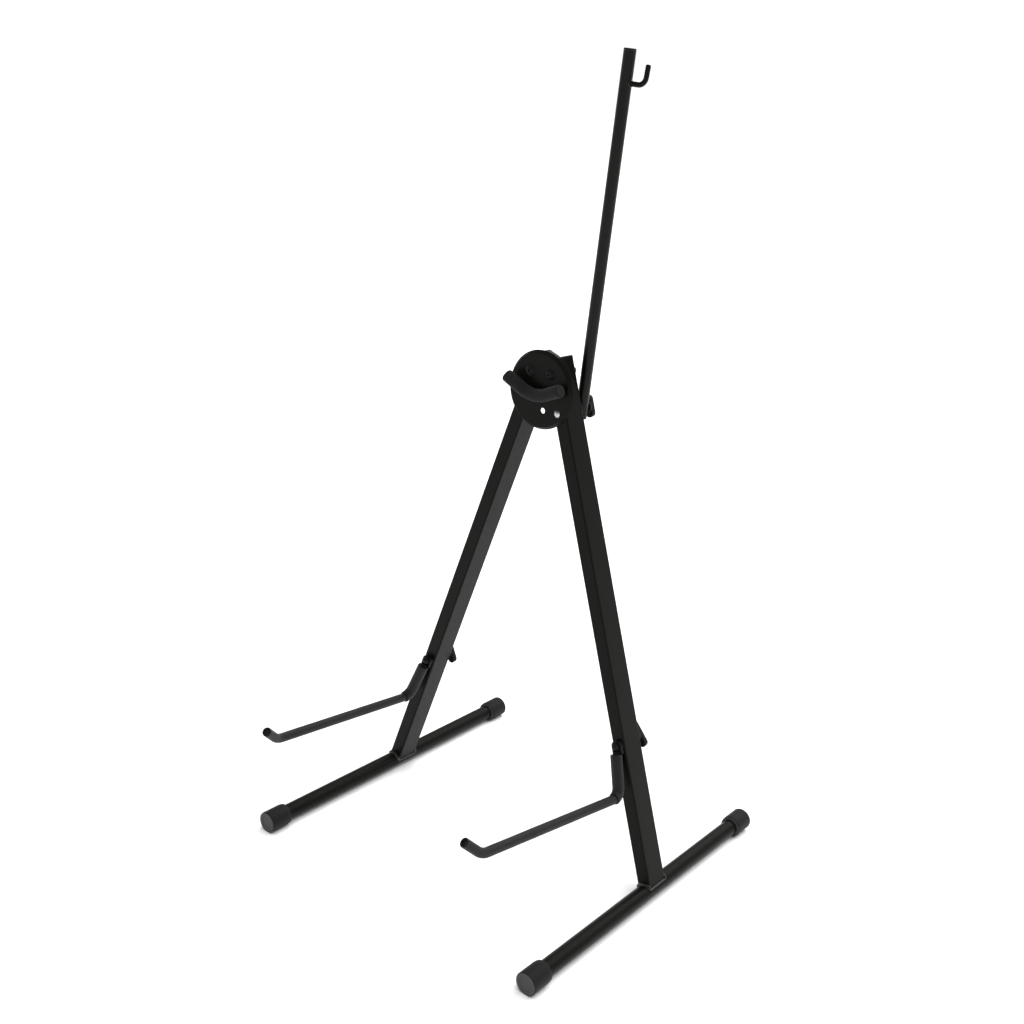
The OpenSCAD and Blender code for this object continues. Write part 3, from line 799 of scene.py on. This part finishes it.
def arm_neck(side):
    """The pressed neck where the flat tongue runs into the round rod."""
    word = word_for(side)
    place = leg_frame(side) @ at(0, -HALF_D, -ARM_DROP)
    top, tall, rings, sides = -6.6 * MM, 7.4 * MM, 10, 48
    under, over = 0.05 * MM, 0.03 * MM     # starts inside the tongue and ends round the rod
    loops = []
    for k in range(rings + 1):
        t = k / rings
        ease = t * t * (3 - 2 * t)
        z = top - tall * t
        rod_f = ROD_F + (-z - ROD_TOP) * math.tan(HANG_LEAN)
        mid = TONGUE_F * (1 - ease) + rod_f * ease
        half_w = (TONGUE_W / 2 - under) * (1 - ease) + (ROD_R + over) * ease
        half_t = (TONGUE_T / 2 - under) * (1 - ease) + (ROD_R + over) * ease
        square = 4 - 2 * ease
        loop = []
        for i in range(sides):
            c, q = math.cos(TAU * i / sides), math.sin(TAU * i / sides)
            r = (abs(c) ** square + abs(q) ** square) ** (-1 / square)
            loop.append(Vector((half_w * c * r, -mid + half_t * q * r, z)))
        loops.append(loop)
    verts, faces = skin(loops)
    return piece(f"{word}_arm_neck", verts, faces, f"{word}_arm", "black_powder_coat", place,
                 sharp=60)


for side in (1, -1):
    arm_rubber(side)
    arm_neck(side)

# ---- Knobs ----

KNOB_HALF, POLE_KNOB_HALF = 21.5 * MM, 17 * MM    # half of the bar's length


def wing_knob(name, place, body, node, half):
    """Moulded T-knob: round boss, filleted into a crowned bar with softened ends."""
    n, boss, low, wide = 96, 9 * MM, 4.5 * MM, 7 * MM
    shoulder, crown, top = 11.5 * MM, 2.3 * MM, 14 * MM
    loops = [ring_loop(6.05 * MM, 1.0 * MM, n), ring_loop(6.3 * MM, 0.05 * MM, n),
             ring_loop(boss - 0.7 * MM, 0, n), ring_loop(boss - 0.1 * MM, 0.5 * MM, n),
             ring_loop(boss, 1.2 * MM, n), ring_loop(boss - 0.2 * MM, low - 1.4 * MM, n)]
    # the fillet: (below the bar in mm, share of the way from the boss to the bar)
    for below, t in ((0.7, 0.08), (0.3, 0.25), (0.05, 0.55)):
        z = low - below * MM
        loops.append([p.lerp(q, t) for p, q in
                      zip(ring_loop(boss - 0.2 * MM, z, n),
                          stadium_loop(half - 1.6 * MM, wide - 0.8 * MM, z, n))])
    for k in range(5):
        a = math.pi / 2 * k / 4
        inset = 1.5 * MM * (1 - math.sin(a))
        loops.append(stadium_loop(half - inset, wide - inset,
                                  low + 0.05 * MM + 1.4 * MM * (1 - math.cos(a)), n))
    for k in range(1, 8):
        a = math.pi / 2 * k / 7
        inset = 0.35 * MM + 2.4 * MM * (1 - math.cos(a))
        loops.append(stadium_loop(half - inset, wide - inset, shoulder + crown * math.sin(a), n))
    loops.append(stadium_loop(half * 0.55, wide * 0.25, top, n))
    verts, faces = skin(loops)
    return piece(name, verts, faces, body, "knob_plastic", place, [node], sharp=40)


def knob_place(joint, node, turn, side):
    """A knob's seat on its bolt, turned by degrees from its leg."""
    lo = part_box(node)[0]
    p = joint_at(joint)
    base = at(p.x, lo.y, p.z) @ leg_frame(side).to_3x3().to_4x4()
    return base @ Matrix.Rotation(math.radians(turn), 4, "Y") @ BACKWARDS


for word, body, node, side, turn, half in (
        ("right", "right_knob", "right_arm_knob", 1, -24, KNOB_HALF),
        ("left", "left_knob", "left_arm_knob", -1, 44, KNOB_HALF),
        ("pole", "rear_knob", "pole_knob", 1, 0, POLE_KNOB_HALF)):
    wing_knob(f"{word}_t_knob", knob_place(f"{word}_knob_turn", node, turn, side), body, node,
              half)

# ---- Bow pole ----

POLE_R, PLUG_R = 8.5 * MM, 6.95 * MM
POLE_UP, POLE_DOWN, POLE_LEAN = 489 * MM, 14 * MM, math.radians(3.25)
POLE_DIR = Vector((math.sin(POLE_LEAN), 0, math.cos(POLE_LEAN)))
POLE_OUT = Vector((math.cos(POLE_LEAN), 0, -math.sin(POLE_LEAN)))
POLE_M = Matrix.Translation(POLE_AT) @ Matrix.Rotation(POLE_LEAN, 4, "Y")


def pole_end(name, place, node, deep, tall, edge, under):
    """Moulded plug, deep in the pole, with a cap that is tall and rounded by edge."""
    profile = fillet([(0.3 * MM, -deep), (PLUG_R, -deep), (PLUG_R, 0), (POLE_R - 0.2 * MM, 0),
                      (POLE_R, under), (POLE_R, tall), (0.3 * MM, tall)],
                     [0.5 * MM, 0, 0, 0, edge])
    verts, faces = lathe([(p.x, p.y) for p in profile], 56)
    piece(name, verts, faces, "bow_pole", "black_plastic", POLE_M @ place, [node])


def hook():
    """Bent wire hook with a rounded tip and a fillet weld at its root."""
    r, bend, up, out, rise, tip = 3.5 * MM, 11 * MM, 448.5 * MM, 20.5 * MM, 16 * MM, 2.2 * MM
    origin = POLE_AT + POLE_DIR * up
    path = Path(origin, POLE_OUT, POLE_DIR, (0, 0), 0.0,
                [(out, math.radians(87), bend), (rise, 0, 0)])
    end = path.length
    stations = [(1 * MM, 0.3 * MM), (1 * MM, r)]
    stations += [(s, r) for s in path.samples(2 * MM, end - tip, 4 * MM)]
    stations += lip(end, r, tip, 1, 7)[1:] + [(end, 0.2 * MM)]
    verts, faces = along(path, stations, 36)
    piece("bow_hook_rod", verts, faces, "bow_pole", "black_powder_coat",
          replaces=["bow_hook"], sharp=40)
    seam_r, bead_r, count = r + 0.4 * MM, 1.1 * MM, 72
    seam = []
    for k in range(count):
        a = TAU * k / count
        y, z = seam_r * math.cos(a), seam_r * math.sin(a)
        x = math.sqrt(POLE_R ** 2 - y ** 2)
        seam.append(origin + POLE_OUT * (x + 0.1 * MM) + Vector((0, 1, 0)) * y + POLE_DIR * z)
    bead("bow_hook_weld", seam, [bead_r] * count, "bow_pole", period=1.9 * MM)


pole_end("pole_top_moulding", at(0, 0, POLE_UP), "pole_top_cap",
         7 * MM, 3 * MM, 1.5 * MM, 0.3 * MM)
pole_end("pole_foot_moulding", at(0, 0, -POLE_DOWN) @ Matrix.Rotation(math.pi, 4, "X"),
         "pole_bottom_plug", 8.5 * MM, 1.5 * MM, 0.9 * MM, 0.2 * MM)
hook()

# ---- Stage, lights and camera ----


def stage_mesh(name, verts, faces, mat):
    mesh = bpy.data.meshes.new(name)
    mesh.from_pydata(verts, [], faces)
    mesh.materials.append(mat)
    obj = bpy.data.objects.new(name, mesh)
    bpy.context.scene.collection.objects.link(obj)
    return obj


def floor_look():
    """Pale and matt from above, clear from below so that the underside can be looked at."""
    mat, nt, bsdf = new_material("pale_floor", (0.82, 0.82, 0.82), 0.9, specular=0.1)
    mix = nt.nodes.new("ShaderNodeMixShader")
    nt.links.new(nt.nodes.new("ShaderNodeNewGeometry").outputs["Backfacing"], mix.inputs["Fac"])
    nt.links.new(bsdf.outputs["BSDF"], mix.inputs[1])
    nt.links.new(nt.nodes.new("ShaderNodeBsdfTransparent").outputs["BSDF"], mix.inputs[2])
    nt.links.new(mix.outputs["Shader"], nt.nodes["Material Output"].inputs["Surface"])
    return mat


def sweep_wall(radius, height, glow):
    """A white wall far round the stand, which its dark paint mirrors; the camera sees past it."""
    mat = bpy.data.materials.new("white_sweep")
    mat.use_nodes = True
    tree = mat.node_tree
    tree.nodes.clear()
    light = tree.nodes.new("ShaderNodeEmission")
    light.inputs["Strength"].default_value = glow
    tree.links.new(light.outputs["Emission"],
                   tree.nodes.new("ShaderNodeOutputMaterial").inputs["Surface"])
    n = 96
    verts = [(v.x, v.y, z) for z in (0, height) for v in ring_loop(radius, 0, n)]
    faces = [(k, (k + 1) % n, n + (k + 1) % n, n + k) for k in range(n)]
    obj = stage_mesh("sweep_wall", verts, faces, mat)
    obj.visible_camera = obj.visible_shadow = False


def back_light(where, target, size, power):
    """A wide soft light high behind the stand."""
    data = bpy.data.lights.new("back", "AREA")
    data.shape = "RECTANGLE"
    data.size, data.size_y = size
    data.energy = power
    obj = bpy.data.objects.new("back", data)
    obj.location = where
    aim = Vector(target) - Vector(where)
    obj.rotation_euler = aim.to_track_quat("-Z", "Y").to_euler()
    obj.visible_camera = False
    bpy.context.scene.collection.objects.link(obj)


def overhead_light(power, spread, lean):
    """A very soft sun that leaves no mirror image of itself; spread and lean are in degrees."""
    data = bpy.data.lights.new("overhead", "SUN")
    data.energy = power
    data.angle = math.radians(spread)
    obj = bpy.data.objects.new("overhead", data)
    obj.rotation_euler = (math.radians(lean[0]), math.radians(lean[1]), 0)
    obj.visible_glossy = False
    bpy.context.scene.collection.objects.link(obj)


def room(lit, seen):
    """Lights the object dimly (lit) and is white (seen) where the camera looks past the floor."""
    world = bpy.data.worlds.new("studio")
    bpy.context.scene.world = world
    world.use_nodes = True
    nt = world.node_tree
    background = nt.nodes["Background"]
    background.inputs["Color"].default_value = (1, 1, 1, 1)
    camera_ray = nt.nodes.new("ShaderNodeLightPath").outputs["Is Camera Ray"]
    nt.links.new(ramp(nt, camera_ray, 0, 1, lit, seen), background.inputs["Strength"])


def view_from(where, azimuth, elevation, roll, lens):
    """A camera to the right of the front, looking slightly down; angles in degrees, lens in mm."""
    az, el, tilt = (math.radians(v) for v in (azimuth, elevation, roll))
    back = Vector((math.sin(az) * math.cos(el), -math.cos(az) * math.cos(el), math.sin(el)))
    flat = Vector((math.cos(az), math.sin(az), 0))
    rise = back.cross(flat)
    right = flat * math.cos(tilt) + rise * math.sin(tilt)
    up = rise * math.cos(tilt) - flat * math.sin(tilt)
    data = bpy.data.cameras.new("camera")
    data.sensor_width = 36
    data.lens = lens
    camera = bpy.data.objects.new("camera", data)
    basis = Matrix((right, up, back)).transposed().to_4x4()
    camera.matrix_world = Matrix.Translation(where) @ basis
    bpy.context.scene.collection.objects.link(camera)
    bpy.context.scene.camera = camera


FLOOR = 30                   # half of its width
stage_mesh("studio_floor", [(-FLOOR, -FLOOR, 0), (FLOOR, -FLOOR, 0), (FLOOR, FLOOR, 0),
                            (-FLOOR, FLOOR, 0)], [(0, 1, 2, 3)], floor_look())
sweep_wall(radius=12, height=4, glow=0.8)
back_light(where=(0.9, 4.7, 5.0), target=(0, 0, 0.2), size=(8, 4), power=250)
overhead_light(power=4.1, spread=70, lean=(-6, 8))
room(lit=0.3, seen=1.05)
bpy.context.scene.view_settings.view_transform = "Standard"
view_from((1.0814, LEG_Y - 1.4130, 1.1651), azimuth=38.80, elevation=19.42, roll=3.93,
          lens=44.543)
